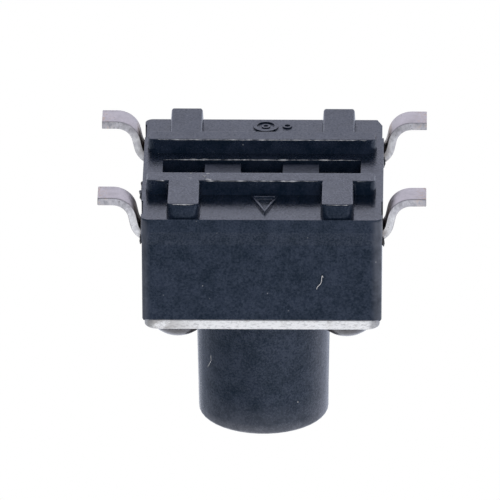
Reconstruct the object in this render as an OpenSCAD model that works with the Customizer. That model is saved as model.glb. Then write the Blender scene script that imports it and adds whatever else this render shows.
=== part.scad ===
// Surface-mount tactile push button switch, 6 mm square, 7 mm tall.
// Millimetres. The board lies at z = 0, the stem points up, and the origin is
// on the stem's axis at the plane that the four solder feet stand on.

/* [Base moulding] */
// Width of the base across the two lead sides
body_w = 6; // [5.8:0.05:6.6]
// Depth of the base along the other direction
body_d = 5.9; // [5.8:0.05:6.6]
// Height of the base from its underside floor to the seat of the cover
body_h = 2.8; // [2.6:0.05:3.2]
// Height of the underside floor above the board
floor_z = 0.41; // [0.38:0.01:0.5]
// How much each side leans in between the parting line and the cover
side_draft = 0.006; // [0:0.002:0.03]
// How far each side steps in at the parting line
parting_step = 0.02; // [0.01:0.005:0.05]
// Radius of the base's upright corners
body_corner_r = 0.2; // [0.05:0.01:0.25]
// Chamfer round the top of the base, under the cover
seat_chamfer = 0.04; // [0.02:0.01:0.06]
// Keying chamfer on one upright corner, along the width
key_w = 0.17; // [0.1:0.01:0.3]
// Keying chamfer on one upright corner, along the depth
key_d = 0.44; // [0.2:0.01:0.6]

/* [Underside ribs] */
// Distance of each long rib from the centre
rib_y = 1.21; // [1.1:0.01:1.35]
// Thickness of a rib at its foot
rib_t = 0.57; // [0.52:0.01:0.7]
// Height of the ribs and tabs below the floor
rib_h = 0.37; // [0.25:0.01:0.37]
// Bare margin between a rib's end and the side of the base
rib_margin = 0.13; // [0.05:0.01:0.3]
// Distance of each tab from the centre
tab_x = 1.91; // [1.7:0.01:2.1]
// Width of a tab at its foot
tab_w = 0.84; // [0.6:0.01:1]
// Bare margin between a tab's end and the edge of the base
tab_margin = 0.08; // [0.05:0.01:0.3]
// Slope of the rib and tab walls, in degrees
rib_draft = 5; // [0:1:6]
// Radius of the ribs' and tabs' upright corners
rib_corner_r = 0.25; // [0.12:0.01:0.26]
// Radius of the edges round the crests of the ribs and tabs
rib_edge_r = 0.05; // [0.02:0.01:0.06]
// Radius of the fillet where a tab leaves its rib
rib_fillet_r = 0.09; // [0.06:0.01:0.12]

/* [Underside slot] */
// Offset of the ribs, tabs and slot from the middle of the base, along its width
rib_shift = 0.04; // [0:0.01:0.06]
// Length of the slot between the ribs
slot_l = 4.95; // [4.8:0.05:5.2]
// Width of the slot
slot_w = 1.08; // [0.9:0.02:1.2]
// Depth of the slot
slot_depth = 0.08; // [0.05:0.01:0.2]
// Length of each of the three windows in the slot
window_l = 1.05; // [0.9:0.01:1.1]
// Distance from one window to the next
window_pitch = 1.95; // [1.85:0.01:1.95]

/* [Terminals] */
// Thickness of the terminal sheet
sheet_t = 0.2; // [0.15:0.01:0.25]
// Width of a lead
lead_w = 0.7; // [0.6:0.02:0.8]
// Distance between the two leads on one side
lead_pitch = 4.5; // [4.3:0.05:4.6]
// Distance across the tips of the solder feet
lead_span = 8.15; // [8:0.05:9]
// Length of a solder foot's flat
foot_l = 0.37; // [0.25:0.01:0.6]
// Inner radius of both bends of a lead
bend_r = 0.4; // [0.3:0.01:0.42]
// Turn of each bend, in degrees
bend_angle = 78; // [70:1:85]
// Height of the strip inside the base above the board
strip_z = 1.015; // [0.95:0.005:1.1]
// Width of the tongues that carry the contacts
tongue_w = 0.9; // [0.7:0.02:1]
// Diameter of the raised contact buttons
button_d = 0.64; // [0.5:0.02:0.7]
// Clearance of the notch in the base beside each lead
notch_gap = 0.03; // [0.01:0.01:0.06]
// Depth of that notch
notch_depth = 0.04; // [0.02:0.01:0.1]

/* [Snap dome] */
// Diameter of the snap dome
dome_d = 4.4; // [4.2:0.05:4.45]
// Rise of the dome from its rim to its crown
dome_h = 0.38; // [0.34:0.01:0.45]
// Thickness of the dome
dome_t = 0.07; // [0.05:0.01:0.1]
// Clearance between the dome or the plunger's flange and the chamber
chamber_gap = 0.1; // [0.05:0.01:0.12]
// Plastic over the strips at the bottom of the chamber
chamber_skin = 0.115; // [0.08:0.005:0.13]
// How far the outer contact buttons stand out of the chamber floor
button_proud = 0.03; // [0.01:0.01:0.05]

/* [Plunger] */
// Height of the plunger's tip above the board
tip_z = 7; // [5:0.05:10]
// Diameter of the stem where it leaves the cover
stem_d = 3.4; // [3:0.02:3.5]
// Diameter of the stem at its tip
stem_tip_d = 3.26; // [2.9:0.02:3.3]
// Radius of the edge round the tip
tip_r = 0.08; // [0.04:0.01:0.4]
// Diameter of the flange that the cover holds in
flange_d = 4.4; // [4:0.05:4.45]
// Thickness of the flange
flange_t = 0.7; // [0.5:0.05:0.9]
// Diameter of the nub that presses the dome
nub_d = 1.1; // [0.8:0.05:1.4]
// Travel of the plunger from rest to contact
travel = 0.25; // [0.15:0.01:0.25]
// Clearance between the nub and the dome at rest
nub_gap = 0.02; // [0.005:0.005:0.04]

/* [Cover] */
// Thickness of the cover plate
cover_t = 0.25; // [0.2:0.01:0.3]
// How far the cover's edge lies inside the base's edge
cover_inset = 0.05; // [0:0.01:0.1]
// Radius of the cover's corners
cover_corner_r = 0.35; // [0.2:0.05:0.5]
// Clearance between the stem and its hole in the cover
stem_gap = 0.09; // [0.05:0.01:0.15]

/* [Heat stakes] */
// Distance of each stake from the centre, along the width
stake_x = 2.1; // [2.05:0.01:2.15]
// Distance of each stake from the centre, along the depth
stake_y = 2.12; // [2.05:0.01:2.15]
// Diameter of a stake's post
stake_d = 0.8; // [0.6:0.02:0.9]
// Diameter of a stake's formed head
head_d = 1.5; // [1.1:0.02:1.5]
// Height of a stake's formed head
head_h = 0.45; // [0.25:0.01:0.5]
// Clearance between a post and its hole in the cover
stake_gap = 0.02; // [0.01:0.01:0.05]

/* [Hidden] */
$fn = 96;

// Heights, from the board up
body_top = floor_z + body_h;
cover_top = body_top + cover_t;
strip_top = strip_z + sheet_t;
chamber_z = strip_top + chamber_skin;
dome_z = chamber_z + button_proud;
crown_z = dome_z + dome_h;
button_z = crown_z - dome_t - travel;

// Parting line of the base: level with the strips, and the step just below it
parting_z = strip_z + sheet_t / 2;
step_z = (floor_z + parting_z) / 2;

// Lead form: two equal bends joined by a straight
bend_mid_r = bend_r + sheet_t / 2;
straight_l = (strip_z - 2 * bend_mid_r * (1 - cos(bend_angle))) / sin(bend_angle);
foot_x = lead_span / 2 - foot_l;
strip_end = foot_x - 2 * bend_mid_r * sin(bend_angle) - straight_l * cos(bend_angle);
lead_y = lead_pitch / 2;

chamber_d = max(dome_d, flange_d) + 2 * chamber_gap;
dome_r = (pow(dome_d / 2, 2) + dome_h * dome_h) / (2 * dome_h);
head_r = (pow(head_d / 2, 2) + head_h * head_h) / (2 * head_h);
cut = 0.5;

// Puts a copy of its children at plus and minus x and y
module at_corners(x, y) {
    for (sx = [-1, 1], sy = [-1, 1]) translate([sx * x, sy * y, 0]) children();
}

// Rectangle with round corners, centred
module rounded_rect(w, d, r) {
    square([w - 2 * r, d], center = true);
    square([w, d - 2 * r], center = true);
    at_corners(w / 2 - r, d / 2 - r) circle(r);
}

// Solid bounded by one outline seen along y and another seen along x
module crossed(w, d) {
    intersection() {
        rotate([90, 0, 0]) linear_extrude(d + 2 * cut, center = true) children(0);
        rotate([90, 0, 90]) linear_extrude(w + 2 * cut, center = true) children(1);
        children(2);
    }
}

// What is drawn and its mirror image to the left
module both_sides() {
    children();
    mirror([1, 0, 0]) children();
}

// What is drawn and its mirror image to the front
module both_ways() {
    children();
    mirror([0, 1, 0]) children();
}

// Side outline of the base: plain at the floor, stepped at the parting line
module side_outline(w) {
    lower = w / 2;
    inner = lower - parting_step;
    upper = inner - side_draft;
    both_sides() polygon([
        [0, floor_z], [lower, floor_z], [lower, step_z], [inner, parting_z],
        [upper, body_top - seat_chamfer], [upper - seat_chamfer, body_top], [0, body_top]
    ]);
}

// Outer block of the base, with one keyed corner
module block() {
    difference() {
        crossed(body_w, body_d) {
            side_outline(body_w);
            side_outline(body_d);
            translate([0, 0, floor_z])
                linear_extrude(body_h) rounded_rect(body_w, body_d, body_corner_r);
        }
        translate([0, 0, floor_z - cut]) linear_extrude(body_h + 2 * cut)
            polygon([
                [-body_w / 2, body_d / 2 - key_d], [key_w - body_w / 2, body_d / 2],
                [key_w - body_w / 2, body_d / 2 + cut], [-body_w / 2 - cut, body_d / 2 + cut],
                [-body_w / 2 - cut, body_d / 2 - key_d]
            ]);
    }
}

// Rib seen end-on, sized at its foot: sloping walls up to a crest with round edges
module rib_outline(w) {
    corner = [w / 2 - rib_h * tan(rib_draft), rib_h];
    reach = rib_edge_r * tan(45 - rib_draft / 2);
    centre = corner - [reach, rib_edge_r];
    wall_end = corner + reach * [sin(rib_draft), -cos(rib_draft)];
    crest_end = corner - [reach, 0];
    both_sides() {
        polygon([[0, 0], [w / 2, 0], wall_end, centre, crest_end, [0, rib_h]]);
        intersection() {
            translate(centre) circle(rib_edge_r);
            polygon([centre, wall_end, corner, crest_end]);
        }
    }
}

// Bar that stands down from the floor
module bar(w, d) {
    translate([0, 0, floor_z]) mirror([0, 0, 1]) crossed(w, d) {
        rib_outline(w);
        rib_outline(d);
        linear_extrude(rib_h) rounded_rect(w, d, rib_corner_r);
    }
}

// Fillet up to the round edges, tangent to two sloping walls that meet at the origin
module wall_fillet() {
    slope = tan(rib_draft);
    fillet_h = rib_h - rib_edge_r;
    lean = fillet_h * slope;
    translate([0, 0, floor_z]) mirror([0, 0, 1]) difference() {
        translate([-lean, -lean, -rib_edge_r])
            cube([rib_fillet_r + lean, rib_fillet_r + lean, rib_h]);
        translate([rib_fillet_r, rib_fillet_r, -2 * rib_edge_r]) cylinder(
            h = rib_h + 2 * rib_edge_r,
            r1 = rib_fillet_r - 2 * rib_edge_r * slope,
            r2 = rib_fillet_r + rib_h * slope
        );
    }
}

// Two long ribs, each with two tabs that reach towards the edge
module underside_ribs() {
    tab_end = body_d / 2 - tab_margin;
    both_ways() {
        translate([0, rib_y, 0]) bar(body_w - 2 * rib_margin, rib_t);
        both_sides() {
            translate([tab_x, (tab_end + rib_y) / 2, 0]) bar(tab_w, tab_end - rib_y);
            translate([tab_x, rib_y + rib_t / 2, 0])
                both_sides() translate([tab_w / 2, 0, 0]) wall_fillet();
        }
    }
}

// Shallow slot with three windows up to the contacts
module slot_and_windows() {
    translate([-slot_l / 2, -slot_w / 2, floor_z - cut]) cube([slot_l, slot_w, cut + slot_depth]);
    for (x = [-window_pitch, 0, window_pitch])
        translate([x - window_l / 2, -slot_w / 2, floor_z])
            cube([window_l, slot_w, strip_z - floor_z]);
}

// Relief in the base's side beside each lead
module lead_notches() {
    notch_w = lead_w + 2 * notch_gap;
    at_corners(body_w / 2, lead_y)
        translate([-notch_depth, -notch_w / 2, floor_z - cut])
            cube([2 * notch_depth, notch_w, cut + step_z - floor_z]);
}

// Post through the cover with its formed head
module heat_stake() {
    translate([0, 0, body_top - cover_t]) cylinder(h = 2 * cover_t, d = stake_d);
    intersection() {
        translate([0, 0, cover_top + head_h - head_r]) sphere(head_r);
        translate([0, 0, cover_top]) cylinder(h = head_h + cut, d = head_d + cut);
    }
}

// One bend of a lead, about an axis along y, starting at a given angle
module sheet_bend(start, sweep) {
    rotate([90, 0, 0]) rotate([0, 0, start]) rotate_extrude(angle = sweep)
        translate([bend_r, -lead_w / 2]) square([sheet_t, lead_w]);
}

// Lead from the end of the strip to the tip of its solder foot
module gull_lead() {
    translate([strip_end, 0, strip_z - bend_r]) {
        sheet_bend(90 - bend_angle, bend_angle);
        rotate([0, bend_angle, 0]) translate([0, -lead_w / 2, bend_r])
            cube([straight_l, lead_w, sheet_t]);
    }
    translate([foot_x, 0, bend_r + sheet_t]) sheet_bend(270 - bend_angle, bend_angle);
    translate([foot_x, -lead_w / 2, 0]) cube([foot_l, lead_w, sheet_t]);
}

// Strip across the base with a lead formed at each end
module strip_with_leads() {
    translate([-strip_end, -lead_w / 2, strip_z]) cube([2 * strip_end, lead_w, sheet_t]);
    gull_lead();
    mirror([1, 0, 0]) gull_lead();
}

// Tongue from a strip at -lead_y to the middle, with a contact button of a given height
module contact_tongue(top_z) {
    translate([0, 0, strip_z]) linear_extrude(sheet_t) {
        translate([-tongue_w / 2, -lead_y]) square([tongue_w, lead_y]);
        circle(d = tongue_w);
    }
    translate([0, 0, strip_z]) cylinder(h = top_z - strip_z, d = button_d);
}

module base() {
    color("#2b2e34") difference() {
        union() {
            block();
            translate([rib_shift, 0, 0]) underside_ribs();
            at_corners(stake_x, stake_y) heat_stake();
        }
        translate([rib_shift, 0, 0]) slot_and_windows();
        lead_notches();
        translate([0, 0, chamber_z]) cylinder(h = body_h, d = chamber_d);
        terminal_centre();
        terminal_outer();
    }
}

module terminal_centre() {
    color("#b9b2ae") union() {
        translate([0, lead_y, 0]) strip_with_leads();
        mirror([0, 1, 0]) contact_tongue(button_z);
    }
}

module terminal_outer() {
    color("#b9b2ae") union() {
        translate([0, -lead_y, 0]) strip_with_leads();
        for (x = [-window_pitch, window_pitch]) translate([x, 0, 0]) contact_tongue(dome_z);
    }
}

module snap_dome() {
    color("#cbc6ba") translate([0, 0, dome_z]) rotate_extrude($fn = 180) intersection() {
        translate([0, dome_h - dome_r]) difference() {
            circle(dome_r, $fn = 720);
            circle(dome_r - dome_t, $fn = 720);
        }
        square([dome_d / 2 + cut, dome_h + cut]);
    }
}

module plunger() {
    flange_z = body_top - flange_t;
    nub_z = crown_z + nub_gap;
    round_r = stem_tip_d / 2 - tip_r;
    color("#262a31") {
        rotate_extrude() {
            polygon([
                [0, flange_z], [flange_d / 2, flange_z], [flange_d / 2, body_top],
                [stem_d / 2, body_top], [stem_tip_d / 2, tip_z - tip_r], [0, tip_z - tip_r]
            ]);
            translate([0, nub_z]) square([nub_d / 2, flange_z - nub_z]);
            translate([0, tip_z - tip_r]) square([round_r, tip_r]);
            intersection() {
                translate([round_r, tip_z - tip_r]) circle(tip_r);
                translate([round_r, tip_z - tip_r]) square(tip_r);
            }
        }
    }
}

module cover() {
    edge = cover_inset + parting_step + side_draft;
    color("#c4c5ca") translate([0, 0, body_top]) linear_extrude(cover_t) difference() {
        rounded_rect(body_w - 2 * edge, body_d - 2 * edge, cover_corner_r);
        circle(d = stem_d + 2 * stem_gap);
        at_corners(stake_x, stake_y) circle(d = stake_d + 2 * stake_gap);
    }
}

base();
terminal_centre();
terminal_outer();
snap_dome();
plunger();
cover();
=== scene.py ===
"""Looks of a surface-mount push button switch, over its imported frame.

The switch stands on its solder feet at z = 0 with the stem up. The photograph
shows it lying on its press face, seen from the solder side, so the camera
looks up at it from below the plane of the feet, and +X is on the left of the
picture. Lengths are in metres, and a colour is linear (r, g, b).
"""
import math

import bmesh
import bpy
from mathutils import Matrix, Vector, noise


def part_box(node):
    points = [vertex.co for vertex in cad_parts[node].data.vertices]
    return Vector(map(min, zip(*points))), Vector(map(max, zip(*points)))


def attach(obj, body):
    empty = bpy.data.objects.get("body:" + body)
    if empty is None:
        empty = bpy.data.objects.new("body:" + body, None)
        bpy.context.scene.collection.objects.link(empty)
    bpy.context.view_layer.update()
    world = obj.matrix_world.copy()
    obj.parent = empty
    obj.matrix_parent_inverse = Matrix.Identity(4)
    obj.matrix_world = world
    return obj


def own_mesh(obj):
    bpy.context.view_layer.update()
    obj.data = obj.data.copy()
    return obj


MM = 0.001

# Camera, measured in the photograph
CAMERA_TILT = math.radians(25.474)
CAMERA_TURN = math.radians(0.927)
CAMERA_ROLL = math.radians(-0.15)
CAMERA_DISTANCE = 334.84 * MM
CAMERA_LENS = 961.7
CAMERA_SENSOR = 36
CAMERA_OFFSET = (0.3395 * MM, -0.7763 * MM)
CAMERA_TARGET = Vector((0, 0, 3.5 * MM))

# Sizes of the base that the small pieces are placed by
FLOOR_Z = 0.41 * MM
CREST_Z = 0.04 * MM
RIB_Y = 1.21 * MM
RIB_HALF = 0.255 * MM
RIB_END = 2.82 * MM
RIB_SHIFT = 0.04 * MM
TAB_X = 1.91 * MM
TAB_HALF = 0.38 * MM
TAB_END = 2.84 * MM
SLOT_EDGE = 0.54 * MM
SLOT_END = 2.475 * MM
SIDE_X = 3.0 * MM
FRONT_Y = -2.95 * MM

# How far the base's stake heads rise over the seat of the cover
HEAD_RISE = 0.7 * MM

# Stem of the plunger, at the cover's seat and at its tip
STEM_RADIUS = 1.7 * MM
STEM_TIP_RADIUS = 1.63 * MM

# Terminals get painted shade inside this distance from the middle, where they are seen down the
# deep windows
WINDOW_REACH = 2.85 * MM

# How deep a raised mark is sunk into the floor that carries it
SUNK = 0.02 * MM

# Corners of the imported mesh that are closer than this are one
WELD_REACH = 0.0008 * MM

# Most values of a noise lie in this span
SPREAD = (0.35, 0.65)

# Finish of the mouldings. A dullness is roughness over the plain surface's.
PLASTIC_IOR = 1.6
PORE_LEVEL = (0.26, 0.76)
BASE_ROUGHNESS = (0.13, 0.25)
BASE_GRAIN_DEPTH = 0.0022 * MM
PLUNGER_ROUGHNESS = (0.2, 0.33)
PLUNGER_GRAIN_DEPTH = 0.0042 * MM
CREST_DULLNESS = 0.06
SLOT_DULLNESS = 0.12
REAR_DULLNESS = 0.14
# How far off the middle the painted corner sheen is centred
SHEEN_SHIFT = 0.04 * MM

# Finish of the stamped sheets
SHEET_ROUGHNESS = (0.34, 0.55)
SHEARED_DULLNESS = 0.12
SHEARED_METAL = 0.3

# Colours. A pair is the two that a noise mixes.
BASE_PLASTIC = ((0.0045, 0.01, 0.021), (0.0145, 0.0215, 0.04))
PLUNGER_PLASTIC = ((0.005, 0.0105, 0.021), (0.0155, 0.0225, 0.04))
BROWNER_PLASTIC = (0.017, 0.0125, 0.013)
# Paler plastic painted on as a sheen, standing in for the bright reflections at the base's corners
# and the plunger's tip
PAINTED_SHEEN_PLASTIC = (0.17, 0.175, 0.205)
DUST = (0.3, 0.31, 0.33)
# Real flash made pale, as a painted highlight along the edges it follows
PALE_FLASH_HIGHLIGHT = ((0.1, 0.108, 0.13), (0.66, 0.67, 0.71))
STAINED_FLASH = ((0.012, 0.016, 0.026), (0.055, 0.052, 0.052))
FIBRE = ((0.5, 0.5, 0.53), (0.85, 0.85, 0.86))
TIN = ((0.42, 0.38, 0.362), (0.57, 0.52, 0.5))
SHEARED_FOOT = ((0.37, 0.365, 0.4), (0.7, 0.69, 0.75))
SHEARED_RISE = ((0.66, 0.66, 0.7), (0.97, 0.97, 1))
ROLLED_EDGE_SHADE = (0.16, 0.15, 0.17)
PIT = (0.12, 0.1, 0.09)
ROOT_BROWN = (0.15, 0.1, 0.065)
BARE_BRASS = (0.5, 0.34, 0.2)
WINDOW_SHADE = (0.02, 0.022, 0.028)
COVER_FACE = ((0.6, 0.605, 0.62), (0.74, 0.745, 0.76))
COVER_EDGE = ((0.64, 0.64, 0.66), (0.98, 0.98, 1))
COVER_STAIN = (0.34, 0.32, 0.31)
COVER_END_SHADE = (0.3, 0.3, 0.31)
SPRING_SHEET = ((0.62, 0.6, 0.56), (0.76, 0.74, 0.7))
PALE_FLOOR = (0.95, 0.95, 0.95)

# The room that glossy surfaces show. Its front is at -Y and its rear at +Y, a
# pair goes from +X to -X, and low and high are along Z.
ROOM_FRONT = ((0.16, 0.2, 0.26), (0.42, 0.5, 0.66))
ROOM_FRONT_LOW = (0.03, 0.045, 0.07)
ROOM_FRONT_HIGH = (0.93, 0.95, 1)
ROOM_REAR_LOW = (1.04, 1.08, 1.32)
ROOM_REAR_MIDDLE = (1.15, 1.2, 1.35)
ROOM_REAR_SIDES = ((0.44, 0.49, 0.61), (0.86, 0.92, 1.12))
FILL_LIGHT = (0.28, 0.28, 0.28)
WHITE = (1, 1, 1)

# Half the width of the square floor
FLOOR_REACH = 0.6


def set_sockets(tree, target, sockets):
    """Sets each of the node's sockets to its value, or links it to another node's output."""
    for key, value in sockets.items():
        if isinstance(value, bpy.types.NodeSocket):
            tree.links.new(value, target.inputs[key])
        else:
            target.inputs[key].default_value = value


def node(tree, kind, sockets=None, **settings):
    """A new shader node. Each of sockets is a value or another node's output."""
    made = tree.nodes.new(kind)
    for key, value in settings.items():
        setattr(made, key, value)
    set_sockets(tree, made, sockets or {})
    return made


def object_place(tree, stretch=(1, 1, 1)):
    """Position on the object in metres, scaled along each axis."""
    place = node(tree, "ShaderNodeTexCoord").outputs["Object"]
    if stretch == (1, 1, 1):
        return place
    return node(tree, "ShaderNodeMapping", {"Vector": place, "Scale": stretch}).outputs[0]


def patches(tree, place, size, detail, roughness):
    """Noise from 0 to 1 whose patches are about size across."""
    sockets = {"Vector": place, "Scale": 1 / size, "Detail": detail, "Roughness": roughness}
    return node(tree, "ShaderNodeTexNoise", sockets).outputs["Fac"]


def fade(tree, value, low, high, start=0, end=1):
    """Value carried from low..high to start..end, and held there. Low may be the higher one."""
    sockets = {"Value": value, "From Min": low, "From Max": high, "To Min": start, "To Max": end}
    return node(tree, "ShaderNodeMapRange", sockets).outputs[0]


def spots(tree, place, spacing, share):
    """Round spots about spacing apart: 1 inside a spot and 0 beyond that share of the spacing."""
    cells = node(tree, "ShaderNodeTexVoronoi", {"Vector": place, "Scale": 1 / spacing})
    return fade(tree, cells.outputs["Distance"], share, 0.6 * share)


def maths(tree, operation, first, second=0):
    return node(tree, "ShaderNodeMath", {0: first, 1: second}, operation=operation).outputs[0]


def both(tree, first, second):
    return maths(tree, "MULTIPLY", first, second)


def mean_of(tree, *weighted):
    """Sum of values, each given with its weight."""
    total = both(tree, *weighted[0])
    for value, weight in weighted[1:]:
        total = maths(tree, "ADD", total, both(tree, value, weight))
    return total


def along_axis(tree, axis):
    """Place on the object along one axis, in metres."""
    return node(tree, "ShaderNodeSeparateXYZ", {0: object_place(tree)}).outputs[axis]


def face_side(tree, axis):
    """How squarely the surface faces along an axis of the object, from 0 to 1."""
    normal = node(tree, "ShaderNodeTexCoord").outputs["Normal"]
    part = node(tree, "ShaderNodeSeparateXYZ", {0: normal}).outputs[axis]
    return maths(tree, "ABSOLUTE", part)


def blend_colours(tree, amount, first, second):
    """Mix of two colours, each an (r, g, b) or an output."""
    sockets = {0: amount}
    for key, colour in ((6, first), (7, second)):
        sockets[key] = colour if isinstance(colour, bpy.types.NodeSocket) else (*colour, 1)
    return node(tree, "ShaderNodeMix", sockets, data_type="RGBA").outputs[2]


def mottled(tree, value, low, high, pair):
    """Pair of colours: the first where value is at low, the second where it is at high."""
    return blend_colours(tree, fade(tree, value, low, high), *pair)


def bump(tree, height, depth, below=None):
    """Normal of a relief that is depth high where height goes from 0 to 1."""
    sockets = {"Height": height, "Distance": depth, "Strength": 1}
    if below is not None:
        sockets["Normal"] = below
    return node(tree, "ShaderNodeBump", sockets).outputs[0]


def new_material(name):
    material = bpy.data.materials.new(name)
    material.use_nodes = True
    tree = material.node_tree
    return material, tree, tree.nodes["Principled BSDF"]


def feed(tree, shader, **sockets):
    """Sets or links the shader's sockets, named with _ for each space."""
    set_sockets(tree, shader, {key.replace("_", " "): value for key, value in sockets.items()})


def moulded_plastic(name, pair, gloss, grain_depth, painted_sheen, duller=None, browner_from=None):
    """Dark glass-filled moulding: mottled, finely grained and dusty, with a painted sheen.

    The fifth argument says from (tree, mottle) how much painted sheen it has: paler
    plastic that stands in for bright reflections. duller(tree) says what its roughness
    gains, and the last argument gives the height above which it turns browner.
    """
    material, tree, shader = new_material(name)
    place = object_place(tree)
    clouds = patches(tree, place, 0.8 * MM, 5, 0.62)
    mottle = patches(tree, place, 0.34 * MM, 5, 0.65)
    grain = patches(tree, place, 0.05 * MM, 2, 0.7)
    mixed = mean_of(tree, (clouds, 0.3), (mottle, 0.45), (grain, 0.25))
    colour = mottled(tree, mixed, 0.42, 0.58, pair)
    # Browner above the cover's seat, where the stake heads are
    if browner_from:
        heads = fade(tree, along_axis(tree, 2), browner_from, browner_from + 0.02 * MM)
        colour = blend_colours(tree, heads, colour, BROWNER_PLASTIC)
    # Painted sheen: paler plastic that stands in for bright reflections
    colour = blend_colours(tree, painted_sheen(tree, mottle), colour, PAINTED_SHEEN_PLASTIC)
    dust = both(tree, spots(tree, place, 0.45 * MM, 0.045), fade(tree, mottle, 0.45, 0.55))
    colour = blend_colours(tree, both(tree, dust, 0.6), colour, DUST)
    uneven = mean_of(tree, (clouds, 0.4), (mottle, 0.3), (grain, 0.3))
    shine = fade(tree, uneven, *SPREAD, *gloss)
    if duller:
        shine = maths(tree, "ADD", shine, duller(tree))
    relief = bump(tree, grain, grain_depth)
    relief = bump(tree, mottle, 2.5 * grain_depth, relief)
    pores = mean_of(tree, (grain, 0.8), (mottle, 0.2))
    level = fade(tree, pores, 0.36, 0.64, *PORE_LEVEL)
    feed(tree, shader, Base_Color=colour, Roughness=shine, Normal=relief, IOR=PLASTIC_IOR,
         Specular_IOR_Level=level)
    return material


def solder_side_dullness(tree):
    """Roughness that the crests, the slot and the rear floor have over the rest of the base."""
    height = along_axis(tree, 2)
    crest = fade(tree, height, 0.25 * MM, 0.15 * MM, 0, CREST_DULLNESS)
    level = fade(tree, face_side(tree, 2), 0.8, 0.95)
    slot = both(tree, level, fade(tree, height, 0.44 * MM, 0.47 * MM, 0, SLOT_DULLNESS))
    rearward = fade(tree, along_axis(tree, 1), -1 * MM, 2 * MM, 0, REAR_DULLNESS)
    rear = both(tree, level, rearward)
    return maths(tree, "ADD", maths(tree, "ADD", crest, slot), rear)


def corner_sheen(tree, mottle):
    """Painted sheen: paler plastic at the upright corners of the base, on its front and back and
    the rounds, standing in for their bright reflections.
    """
    off_middle = maths(tree, "SUBTRACT", along_axis(tree, 0), SHEEN_SHIFT)
    reach = maths(tree, "ABSOLUTE", off_middle)
    begins = fade(tree, reach, 2.72 * MM, 2.86 * MM)
    deepens = fade(tree, reach, 2.78 * MM, 3 * MM, 0.3, 1)
    off_the_sides = fade(tree, face_side(tree, 0), 0.99, 0.95)
    corner = both(tree, both(tree, begins, deepens), off_the_sides)
    height = along_axis(tree, 2)
    over_floor = fade(tree, height, 0.43 * MM, 0.48 * MM)
    under_cover = fade(tree, height, 3.2 * MM, 3.15 * MM)
    span = both(tree, over_floor, under_cover)
    return both(tree, both(tree, corner, span), fade(tree, mottle, 0.3, 0.6, 0.3, 0.55))


def tip_sheen(tree, mottle):
    """Painted reflection: paler plastic towards the plunger's tip, most at its rim, standing in for
    the brightening a reflection gives it there.
    """
    height = along_axis(tree, 2)
    gentle = fade(tree, height, 6.1 * MM, 6.9 * MM, 0, 0.25)
    rim = fade(tree, height, 6.72 * MM, 6.96 * MM, 0, 0.5)
    return both(tree, maths(tree, "ADD", gentle, rim), fade(tree, mottle, 0.3, 0.6, 0.5, 1))


def torn_flash(name, pair, patch_size, span, grain, gloss):
    """Torn edge of a moulding, in patches of a pair of colours.

    span is the stretch of the noise that goes from one colour to the other,
    and grain gives the size, detail and depth of its relief.
    """
    material, tree, shader = new_material(name)
    place = object_place(tree)
    torn = fade(tree, patches(tree, place, patch_size, 4, 0.7), *span)
    grain_size, grain_detail, grain_depth = grain
    relief = bump(tree, patches(tree, place, grain_size, grain_detail, 0.6), grain_depth)
    feed(tree, shader, Base_Color=blend_colours(tree, torn, *pair),
         Roughness=fade(tree, torn, 0, 1, *gloss), Normal=relief)
    return material


def white_fibre():
    """Lint: pale fibre with faint bands along it."""
    material, tree, shader = new_material("white_fibre")
    bands = patches(tree, object_place(tree), 0.05 * MM, 2, 0.5)
    feed(tree, shader, Base_Color=mottled(tree, bands, *SPREAD, FIBRE),
         Roughness=fade(tree, bands, 0, 1, 0.4, 0.6))
    return material


def feed_sheet(tree, shader, colour, uneven, sheared, relief):
    """Feeds the shader of a stamped sheet, duller and less of a metal where it was sheared."""
    shine = fade(tree, uneven, *SPREAD, *SHEET_ROUGHNESS)
    shine = maths(tree, "ADD", shine, both(tree, sheared, SHEARED_DULLNESS))
    metal = fade(tree, sheared, 0, 1, 1, SHEARED_METAL)
    feed(tree, shader, Base_Color=colour, Roughness=shine, Metallic=metal, Normal=relief)


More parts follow.
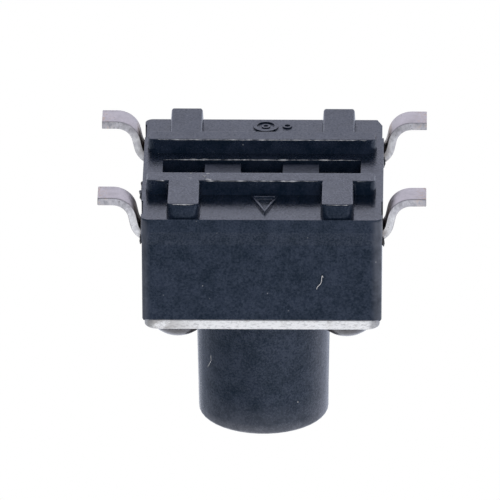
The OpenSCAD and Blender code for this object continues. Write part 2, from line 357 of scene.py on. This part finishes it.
def tinned_brass():
    """Matte tin over brass: sheared sides, pits, browner roots, bare tips, and painted shade on its
    edge rounds and where it is seen down the windows.
    """
    material, tree, shader = new_material("tinned_brass")
    place = object_place(tree)
    clouds = patches(tree, place, 0.3 * MM, 4, 0.6)
    grain = patches(tree, place, 0.03 * MM, 2, 0.6)
    strokes = patches(tree, object_place(tree, (1, 1, 0.6)), 0.08 * MM, 4, 0.7)
    sideways = face_side(tree, 1)
    reach = maths(tree, "ABSOLUTE", along_axis(tree, 0))

    tin = mottled(tree, clouds, *SPREAD, TIN)
    foot_edge = mottled(tree, strokes, *SPREAD, SHEARED_FOOT)
    rise_edge = mottled(tree, strokes, *SPREAD, SHEARED_RISE)
    rise = fade(tree, along_axis(tree, 2), 0.25 * MM, 0.55 * MM)
    sheared = fade(tree, sideways, 0.75, 0.9)
    colour = blend_colours(tree, sheared, tin, blend_colours(tree, rise, foot_edge, rise_edge))

    # Painted shade: darker where the faces turn round the sheet's edges
    rolled_shade = both(tree, fade(tree, sideways, 0.15, 0.4), fade(tree, sideways, 0.9, 0.6))
    colour = blend_colours(tree, both(tree, rolled_shade, 0.6), colour, ROLLED_EDGE_SHADE)
    pits = both(tree, spots(tree, place, 0.13 * MM, 0.13), fade(tree, clouds, 0.42, 0.52))
    colour = blend_colours(tree, both(tree, pits, 0.6), colour, PIT)
    # Browner and darker in patches near the base, where the leads come out of it
    root = fade(tree, reach, 3.2 * MM, 3.02 * MM)
    dirt = both(tree, root, fade(tree, clouds, 0.4, 0.6, 0, 0.5))
    colour = blend_colours(tree, dirt, colour, ROOT_BROWN)
    cut_end = both(tree, fade(tree, face_side(tree, 0), 0.8, 0.95), clouds)
    tip = fade(tree, reach, 3.7 * MM, 4.05 * MM)
    rubbed = both(tree, tip, fade(tree, strokes, 0.52, 0.62, 0, 0.7))
    colour = blend_colours(tree, maths(tree, "MAXIMUM", cut_end, rubbed), colour, BARE_BRASS)
    # Painted shade: the terminals are darkened where they lie down the windows
    inside = fade(tree, reach, WINDOW_REACH + 0.1 * MM, WINDOW_REACH)
    colour = blend_colours(tree, both(tree, inside, 0.92), colour, WINDOW_SHADE)

    relief = bump(tree, grain, 0.0015 * MM)
    relief = bump(tree, both(tree, strokes, sheared), 0.008 * MM, relief)
    relief = bump(tree, pits, -0.004 * MM, relief)
    uneven = mean_of(tree, (clouds, 0.5), (grain, 0.5))
    feed_sheet(tree, shader, colour, uneven, sheared, relief)
    return material


def punched_steel():
    """Plated plate: rolling lines on its faces, a mottled sheared edge, painted shade on its ends
    and corners.
    """
    material, tree, shader = new_material("cover_steel")
    clouds = patches(tree, object_place(tree), 0.35 * MM, 4, 0.65)
    lines = patches(tree, object_place(tree, (0.08, 1, 1)), 0.03 * MM, 2, 0.5)
    tears = patches(tree, object_place(tree, (0.45, 0.45, 1)), 0.05 * MM, 4, 0.65)

    face = mottled(tree, lines, 0.3, 0.7, COVER_FACE)
    edge = mottled(tree, tears, 0.33, 0.5, COVER_EDGE)
    upright = fade(tree, face_side(tree, 2), 0.5, 0.2)
    colour = blend_colours(tree, upright, face, edge)

    one_end = fade(tree, along_axis(tree, 0), 1.6 * MM, 2.4 * MM, 0, 0.6)
    dirty_end = both(tree, both(tree, one_end, upright), fade(tree, clouds, 0.4, 0.5))
    stained = maths(tree, "MAXIMUM", fade(tree, clouds, 0.56, 0.7, 0, 0.45), dirty_end)
    colour = blend_colours(tree, stained, colour, COVER_STAIN)
    # Painted shade: darker on the upright faces that face towards ±X
    end_shade = both(tree, fade(tree, face_side(tree, 0), 0.2, 0.5), upright)
    colour = blend_colours(tree, both(tree, end_shade, 0.6), colour, COVER_END_SHADE)

    relief = bump(tree, lines, 0.0015 * MM)
    relief = bump(tree, both(tree, tears, upright), 0.012 * MM, relief)
    uneven = mean_of(tree, (clouds, 0.5), (lines, 0.5))
    feed_sheet(tree, shader, colour, uneven, upright, relief)
    return material


def spring_steel():
    """Polished sheet with faint rolling lines and a warm tint."""
    material, tree, shader = new_material("spring_steel")
    lines = patches(tree, object_place(tree, (0.05, 1, 1)), 0.025 * MM, 2, 0.5)
    clouds = patches(tree, object_place(tree), 0.6 * MM, 3, 0.5)
    feed(tree, shader, Base_Color=mottled(tree, clouds, 0.3, 0.7, SPRING_SHEET),
         Roughness=fade(tree, lines, 0.3, 0.7, 0.18, 0.3), Metallic=1.0,
         Normal=bump(tree, lines, 0.001 * MM))
    return material


def weld(obj):
    """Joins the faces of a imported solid, which come apart at every sharp edge and seam."""
    modifier = obj.modifiers.new("weld", "WELD")
    modifier.merge_threshold = WELD_REACH


def even_shading(obj):
    """Lets the larger faces set the shading, so that no seam or small face shows in it."""
    modifier = obj.modifiers.new("even_shading", "WEIGHTED_NORMAL")
    modifier.keep_sharp = False


def round_edges(obj, width):
    """Small round on the sharp edges. Returns its modifier."""
    bevel = obj.modifiers.new("edge_round", "BEVEL")
    bevel.width = width
    bevel.segments = 2
    return bevel


def soften_edges(obj, width):
    """Small round on a sheet's sharp edges, as stamping leaves."""
    weld(obj)
    plain = obj.modifiers.new("plain_faces", "DECIMATE")
    plain.decimate_type = "DISSOLVE"
    plain.angle_limit = math.radians(0.3)
    bevel = round_edges(obj, width)
    bevel.limit_method = "ANGLE"
    bevel.angle_limit = math.radians(38)
    bevel.use_clamp_overlap = True
    even_shading(obj)


def close_seam(obj):
    """Joins the two halves of a round solid, so that no line shows where they meet."""
    weld(obj)
    even_shading(obj)


def add_piece(name, mesh, material, body="housing"):
    """A piece in place in the part's own frame, which moves with its body."""
    piece = bpy.data.objects.new(name, mesh)
    bpy.context.scene.collection.objects.link(piece)
    mesh.materials.append(material)
    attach(piece, body)
    return piece


def mesh_from(name, draw, smooth=True):
    """A mesh that draw(bm) fills in, with its normals outward."""
    bm = bmesh.new()
    draw(bm)
    bmesh.ops.recalc_face_normals(bm, faces=bm.faces)
    mesh = bpy.data.meshes.new(name)
    bm.to_mesh(mesh)
    bm.free()
    if smooth:
        mesh.shade_smooth()
    else:
        mesh.shade_flat()
    return mesh


def turns(sides):
    """Angles of the corners of a ring."""
    return [2 * math.pi * k / sides for k in range(sides)]


def skin(bm, rings, endless=False):
    """Faces from ring to ring of points: capped at both ends, or joined end to end if endless."""
    loops = [[bm.verts.new(p) for p in ring] for ring in rings]
    following = loops[1:] + loops[:1] if endless else loops[1:]
    count = len(loops[0])
    for first, second in zip(loops, following):
        for i in range(count):
            j = (i + 1) % count
            bm.faces.new((first[i], first[j], second[j], second[i]))
    if not endless:
        bm.faces.new(loops[0])
        bm.faces.new(list(reversed(loops[-1])))


def draw_bead(bm, start, end, radius, seed, step=0.05 * MM, even=False):
    """Bead from start to end, thinner and thicker by turns unless it is even."""
    start, end = Vector(start), Vector(end)
    count = max(3, round((end - start).length / step))
    along = (end - start).normalized()
    across = along.orthogonal().normalized()
    other = along.cross(across)
    rings = []
    for i in range(count + 1):
        t = i / count
        swell = radius
        if not even:
            # It waves over about three steps, and tapers off at both ends
            wave = noise.noise(Vector((t * count * 0.35, seed, 0)))
            taper = min(1, 0.15 + 8 * min(t, 1 - t))
            swell = radius * max(0.12, 0.6 + 1.1 * wave) * taper
        sway = noise.noise(Vector((t * count * 0.2, seed, 5)))
        centre = start.lerp(end, t) + other * radius * 0.4 * sway
        ring = [centre + swell * (math.cos(a) * across + math.sin(a) * other) for a in turns(6)]
        rings.append(ring)
    skin(bm, rings)


def draw_lump(bm, centre, size, seed, detail=2):
    """Rough lump of plastic or dirt, centred on a point and sized along each axis."""
    made = bmesh.ops.create_icosphere(bm, subdivisions=detail, radius=1)
    for vert in made["verts"]:
        place = vert.co + Vector((seed, 0, 0))
        # Coarse dents with finer ones on them
        rough = 1 + 0.45 * noise.noise(1.7 * place) + 0.25 * noise.noise(5.3 * place)
        vert.co = Vector(centre) + Vector([c * s * rough for c, s in zip(vert.co, size)])


def arrow_mark(plastic):
    """Raised triangular frame on the front floor that points to the front edge."""
    corners = [Vector((x * MM, y * MM)) for x, y in ((0.3, -1.66), (-0.42, -1.66), (-0.07, -2.68))]
    middle = sum(corners, Vector((0, 0))) / 3
    crest = FLOOR_Z - 0.08 * MM
    hollow = FLOOR_Z - 0.03 * MM

    def ring(scale, z):
        return [Vector((*(middle + scale * (c - middle)), z)) for c in corners]

    def draw(bm):
        outside = [ring(1.0, FLOOR_Z + SUNK), ring(0.95, crest)]
        inside = [ring(0.68, crest), ring(0.6, hollow)]
        skin(bm, outside + inside)

    mesh = mesh_from("arrow_mark", draw, smooth=False)
    piece = add_piece("arrow_mark", mesh, plastic)
    round_edges(piece, 0.015 * MM)


def ejector_marks(plastic):
    """Round witness marks of the mould's pins on the rear floor."""
    slope = 0.01 * MM
    # Each ring's place in x and y, outer and inner radius, and height, in millimetres
    rings = [
        (-0.03, 2.52, 0.33, 0.21, 0.035),
        (-0.03, 2.52, 0.12, 0.05, 0.025),
        (-0.57, 2.52, 0.13, 0.06, 0.035),
    ]

    def circle(x, y, radius, z):
        return [(x + radius * math.cos(a), y + radius * math.sin(a), z) for a in turns(48)]

    def draw(bm):
        for ring in rings:
            x, y, outer, inner, proud = [value * MM for value in ring]
            foot, top = FLOOR_Z + SUNK, FLOOR_Z - proud
            outline = [(outer, foot), (outer - slope, top), (inner + slope, top), (inner, foot)]
            skin(bm, [circle(x, y, radius, z) for radius, z in outline], endless=True)

    mesh = mesh_from("ejector_marks", draw, smooth=False)
    add_piece("ejector_marks", mesh, plastic)


def edge_flash(plastic):
    """Uneven flash along the front edges of the crests and both edges of the slot, pale to paint
    the highlights that these edges catch.
    """
    crest = CREST_Z + 0.01 * MM
    rear_rib = RIB_Y - RIB_HALF + 0.006 * MM
    front_rib = -RIB_Y - RIB_HALF + 0.006 * MM
    low_end = RIB_SHIFT - RIB_END + 0.2 * MM
    high_end = RIB_SHIFT + RIB_END - 0.2 * MM
    low_tab = RIB_SHIFT - TAB_X
    high_tab = RIB_SHIFT + TAB_X
    spare = 0.1 * MM
    past_tab = TAB_HALF + spare
    # Each edge's start and end in x, its y and z, and its bead's radius in millimetres
    edges = [
        (low_end, high_end, rear_rib, crest, 0.016),
        (low_tab + past_tab, high_tab - past_tab, front_rib, crest, 0.017),
        (low_end, low_tab - past_tab, front_rib, crest, 0.013),
        (high_tab + past_tab, high_end, front_rib, crest, 0.015),
        (low_tab - TAB_HALF + spare, low_tab + TAB_HALF - spare, -TAB_END, crest, 0.009),
        (high_tab - TAB_HALF + spare, high_tab + TAB_HALF - spare, -TAB_END, crest, 0.011),
        (RIB_SHIFT - SLOT_END, RIB_SHIFT + SLOT_END, SLOT_EDGE, FLOOR_Z - 0.004 * MM, 0.02),
        (RIB_SHIFT - SLOT_END, RIB_SHIFT + SLOT_END, -SLOT_EDGE, FLOOR_Z - 0.002 * MM, 0.009),
    ]

    def draw(bm):
        for seed, (x0, x1, y, z, radius) in enumerate(edges):
            draw_bead(bm, (x0, y, z), (x1, y, z), radius * MM, 3.7 * seed + 1)

    add_piece("edge_flash", mesh_from("edge_flash", draw), plastic)


def rib_chips(plastic):
    """Small chips and crumbs on the front rib's crest beside the tab at +X, in the pale flash that
    paints highlights.
    """
    # Each chip's x, y and size, in millimetres
    places = [
        (1.785, -1.03, 0.03), (1.8, -1.31, 0.022), (1.44, -1.2, 0.038), (1.36, -1.05, 0.032),
        (1.37, -1.38, 0.036), (1.3, -1.4, 0.03), (1.5, -1.1, 0.018), (1.62, -1.16, 0.016),
    ]

    def draw(bm):
        for seed, (x, y, size) in enumerate(places):
            centre = (x * MM, y * MM, CREST_Z + 0.004 * MM)
            draw_lump(bm, centre, (1.6 * size * MM, size * MM, 0.45 * size * MM), seed)

    add_piece("rib_chips", mesh_from("rib_chips", draw), plastic)


def gate_stub(plastic):
    """Broken-off gate of the moulding on the parting line, between the leads at +X."""
    # Each lump's y and z, and its reach out, width and height, in millimetres
    lumps = [
        (0.1, 1.1, 0.05, 0.5, 0.12), (-0.22, 1.06, 0.075, 0.17, 0.14),
        (0.08, 1.13, 0.085, 0.2, 0.12), (0.4, 1.07, 0.06, 0.16, 0.13),
    ]

    def draw(bm):
        for seed, (y, z, out, wide, tall) in enumerate(lumps, 20):
            size = (out * MM, wide * MM, tall * MM)
            draw_lump(bm, (SIDE_X, y * MM, z * MM), size, seed, 4)

    add_piece("gate_stub", mesh_from("gate_stub", draw), plastic)


def root_slivers(plastic):
    """Slivers of torn flash beside the leads, where they come out of the base."""
    # The side, then each sliver's y and z, reach out, width and height, in millimetres
    slivers = [
        (SIDE_X, -2.64, 1.1, 0.035, 0.04, 0.13), (-SIDE_X, -2.64, 1.14, 0.045, 0.045, 0.12),
        (-SIDE_X, 1.86, 1.08, 0.04, 0.04, 0.12), (SIDE_X, 1.86, 1.0, 0.03, 0.04, 0.1),
    ]

    def draw(bm):
        for seed, (x, y, z, out, wide, tall) in enumerate(slivers, 40):
            draw_lump(bm, (x, y * MM, z * MM), (out * MM, wide * MM, tall * MM), seed, 3)

    add_piece("root_slivers", mesh_from("root_slivers", draw), plastic)


def lint(fibre):
    """Curled fibre that clings to the front face."""
    radius = 0.008 * MM
    y = FRONT_Y - 0.006 * MM
    # Its course in x and z, in millimetres
    points = [
        (-1.52, 1.98), (-1.5, 1.93), (-1.485, 2.0), (-1.485, 2.08), (-1.46, 2.15), (-1.42, 2.2),
        (-1.38, 2.24), (-1.36, 2.3),
    ]

    def draw(bm):
        for (x0, z0), (x1, z1) in zip(points, points[1:]):
            start, end = (x0 * MM, y, z0 * MM), (x1 * MM, y, z1 * MM)
            draw_bead(bm, start, end, radius, 3, step=0.04 * MM, even=True)

    add_piece("lint", mesh_from("lint", draw), fibre)


def on_stem(turn, height):
    """Point on the tapered stem, so many degrees from the front to +X and millimetres up."""
    foot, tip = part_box("base")[1][2] - HEAD_RISE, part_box("plunger")[1][2]
    share = (height * MM - foot) / (tip - foot)
    radius = STEM_RADIUS + (STEM_TIP_RADIUS - STEM_RADIUS) * share
    angle = math.radians(turn)
    return radius * math.sin(angle), -radius * math.cos(angle), height * MM


def stem_marks(fibre):
    """Hair scratch and one speck of dust on the plunger's stem."""
    scratch = [(52, 5.09), (51.5, 5.22), (54.8, 5.37), (57, 5.45)]
    scratch_radius = 0.004 * MM
    speck = (-32.2, 6.19)
    speck_radius = 0.012 * MM

    def draw(bm):
        for start, end in zip(scratch, scratch[1:]):
            draw_bead(bm, on_stem(*start), on_stem(*end), scratch_radius, 8, step=0.03 * MM,
                      even=True)
        draw_lump(bm, on_stem(*speck), (speck_radius,) * 3, 60)

    add_piece("stem_marks", mesh_from("stem_marks", draw), fibre, "button")


def studio_world():
    """White to the camera, a soft room to what is glossy, and plain fill light to the rest."""
    world = bpy.data.worlds.new("studio")
    bpy.context.scene.world = world
    world.use_nodes = True
    world.cycles.sampling_method = "NONE"
    tree = world.node_tree
    tree.nodes.clear()
    toward = node(tree, "ShaderNodeTexCoord").outputs["Generated"]
    x, y, z = node(tree, "ShaderNodeSeparateXYZ", {0: toward}).outputs

    across = fade(tree, x, 0.3, -0.3)
    front = blend_colours(tree, across, *ROOM_FRONT)
    front = blend_colours(tree, fade(tree, z, -0.1, 0.3), ROOM_FRONT_LOW, front)
    front = blend_colours(tree, fade(tree, z, 0.5, 0.8), front, ROOM_FRONT_HIGH)
    sides = blend_colours(tree, across, *ROOM_REAR_SIDES)
    aside = maths(tree, "MAXIMUM", fade(tree, x, 0.28, 0.5), fade(tree, x, -0.05, -0.35))
    rear = blend_colours(tree, aside, ROOM_REAR_MIDDLE, sides)
    rear = blend_colours(tree, fade(tree, z, -0.1, 0.2), ROOM_REAR_LOW, rear)
    room = blend_colours(tree, fade(tree, y, -0.2, 0.5), front, rear)

    path = node(tree, "ShaderNodeLightPath")
    lit = blend_colours(tree, path.outputs["Is Glossy Ray"], FILL_LIGHT, room)
    direct, through = path.outputs["Is Camera Ray"], path.outputs["Is Transmission Ray"]
    colour = blend_colours(tree, maths(tree, "MAXIMUM", direct, through), lit, WHITE)
    background = node(tree, "ShaderNodeBackground", {"Color": colour, "Strength": 1})
    output = node(tree, "ShaderNodeOutputWorld")
    tree.links.new(background.outputs[0], output.inputs["Surface"])


def area_lamp(name, direction, distance, size, level):
    """Soft lamp, unseen in gloss, that gives a surface facing it level times its own colour."""
    lamp = bpy.data.lights.new(name, "AREA")
    lamp.size = size
    lamp.energy = level * (math.pi * distance) ** 2
    holder = bpy.data.objects.new(name, lamp)
    bpy.context.scene.collection.objects.link(holder)
    away = Vector(direction).normalized()
    holder.location = CAMERA_TARGET + away * distance
    holder.rotation_mode = "QUATERNION"
    holder.rotation_quaternion = away.to_track_quat("Z", "Y")
    holder.visible_glossy = False


def studio_lamps():
    """The photograph's key lamp, one towards the side of the stem, and a fill from behind."""
    area_lamp("key_front", (-0.1, -0.93, -0.35), 0.3, 0.15, 0.54)
    area_lamp("key_stem_side", (0.08, -0.4, 0.91), 0.3, 0.3, 0.8)
    area_lamp("fill_rear", (0.5, 0.8, 0.3), 0.35, 0.3, 0.3)


def studio_floor():
    """Pale floor under the feet, seen only from above, that keeps the switch's shadow."""
    def draw(bm):
        bmesh.ops.create_grid(bm, x_segments=1, y_segments=1, size=FLOOR_REACH)

    mesh = mesh_from("floor", draw, smooth=False)
    material = bpy.data.materials.new("floor")
    material.use_nodes = True
    tree = material.node_tree
    tree.nodes.clear()
    seen = node(tree, "ShaderNodeLightPath").outputs["Is Camera Ray"]
    below = node(tree, "ShaderNodeNewGeometry").outputs["Backfacing"]
    shown = both(tree, seen, maths(tree, "SUBTRACT", 1, below))
    clear = node(tree, "ShaderNodeBsdfTransparent").outputs[0]
    pale = node(tree, "ShaderNodeBsdfDiffuse", {"Color": (*PALE_FLOOR, 1)}).outputs[0]
    mixed = node(tree, "ShaderNodeMixShader", {0: shown, 1: clear, 2: pale})
    output = node(tree, "ShaderNodeOutputMaterial")
    tree.links.new(mixed.outputs[0], output.inputs["Surface"])
    mesh.materials.append(material)
    floor = bpy.data.objects.new("floor", mesh)
    bpy.context.scene.collection.objects.link(floor)


def photo_camera():
    """Camera at the photograph's place. Its picture has the solder side up and the stem down."""
    turn_s, turn_c = math.sin(CAMERA_TURN), math.cos(CAMERA_TURN)
    tilt_s, tilt_c = math.sin(CAMERA_TILT), math.cos(CAMERA_TILT)
    right = Vector((-turn_c, turn_s, 0))
    up = Vector((tilt_s * turn_s, tilt_s * turn_c, -tilt_c))
    back = Vector((-tilt_c * turn_s, -tilt_c * turn_c, -tilt_s))
    roll_s, roll_c = math.sin(CAMERA_ROLL), math.cos(CAMERA_ROLL)
    right, up = right * roll_c + up * roll_s, up * roll_c - right * roll_s
    lens = bpy.data.cameras.new("camera")
    lens.sensor_width = CAMERA_SENSOR
    lens.lens = CAMERA_LENS
    lens.clip_start = 0.01
    lens.clip_end = 10
    camera = bpy.data.objects.new("camera", lens)
    bpy.context.scene.collection.objects.link(camera)
    camera.rotation_mode = "QUATERNION"
    basis = [[right[i], up[i], back[i]] for i in range(3)]
    camera.rotation_quaternion = Matrix(basis).to_quaternion()
    shift = right * CAMERA_OFFSET[0] + up * CAMERA_OFFSET[1]
    camera.location = CAMERA_TARGET + back * CAMERA_DISTANCE - shift
    bpy.context.scene.camera = camera


def flatten_dome(frame):
    """Gives the dome its own copy of its mesh, which keeps its imported shape."""
    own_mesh(frame["nodes"]["snap_dome"])


def dress_nodes(nodes, materials):
    """Gives each CAD node its material, rounds the edges of the terminals and cover, and closes the
    plunger's seam.
    """
    slots = {
        "base": "base_plastic",
        "terminal_centre": "tinned_brass",
        "terminal_outer": "tinned_brass",
        "snap_dome": "spring_steel",
        "plunger": "plunger_plastic",
        "cover": "cover_steel",
    }
    for name, slot in slots.items():
        nodes[name].material_slots[0].material = materials[slot]
    soften_edges(nodes["terminal_centre"], 0.02 * MM)
    soften_edges(nodes["terminal_outer"], 0.02 * MM)
    soften_edges(nodes["cover"], 0.03 * MM)
    close_seam(nodes["plunger"])


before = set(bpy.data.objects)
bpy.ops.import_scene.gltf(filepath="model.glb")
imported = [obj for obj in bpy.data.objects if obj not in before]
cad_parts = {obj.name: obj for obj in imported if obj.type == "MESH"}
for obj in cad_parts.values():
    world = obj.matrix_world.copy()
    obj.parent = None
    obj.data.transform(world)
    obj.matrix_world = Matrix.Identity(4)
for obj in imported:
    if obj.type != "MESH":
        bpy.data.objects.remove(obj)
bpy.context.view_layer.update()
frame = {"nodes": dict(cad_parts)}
cover_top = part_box("cover")[1][2]
materials = {
    "base_plastic": moulded_plastic(
        "base_plastic", BASE_PLASTIC, BASE_ROUGHNESS, BASE_GRAIN_DEPTH, corner_sheen,
        solder_side_dullness, browner_from=cover_top),
    "plunger_plastic": moulded_plastic(
        "plunger_plastic", PLUNGER_PLASTIC, PLUNGER_ROUGHNESS, PLUNGER_GRAIN_DEPTH, tip_sheen),
    "tinned_brass": tinned_brass(),
    "cover_steel": punched_steel(),
    "spring_steel": spring_steel(),
}
# Pale flash for the edge beads and chips: painted highlights on real flash
flash = torn_flash(
    "pale_flash_highlight", PALE_FLASH_HIGHLIGHT, 0.16 * MM, (0.34, 0.66), (0.03 * MM, 2, 0.004 * MM), (0.3, 0.5))
stained = torn_flash(
    "stained_flash", STAINED_FLASH, 0.1 * MM, (0.38, 0.62), (0.04 * MM, 3, 0.006 * MM), (0.35, 0.6))
fibre = white_fibre()
dress_nodes(frame["nodes"], materials)
flatten_dome(frame)
arrow_mark(materials["base_plastic"])
ejector_marks(materials["base_plastic"])
edge_flash(flash)
rib_chips(flash)
gate_stub(stained)
root_slivers(stained)
lint(fibre)
stem_marks(fibre)
studio_world()
studio_lamps()
studio_floor()
photo_camera()
bpy.context.scene.view_settings.view_transform = "Standard"
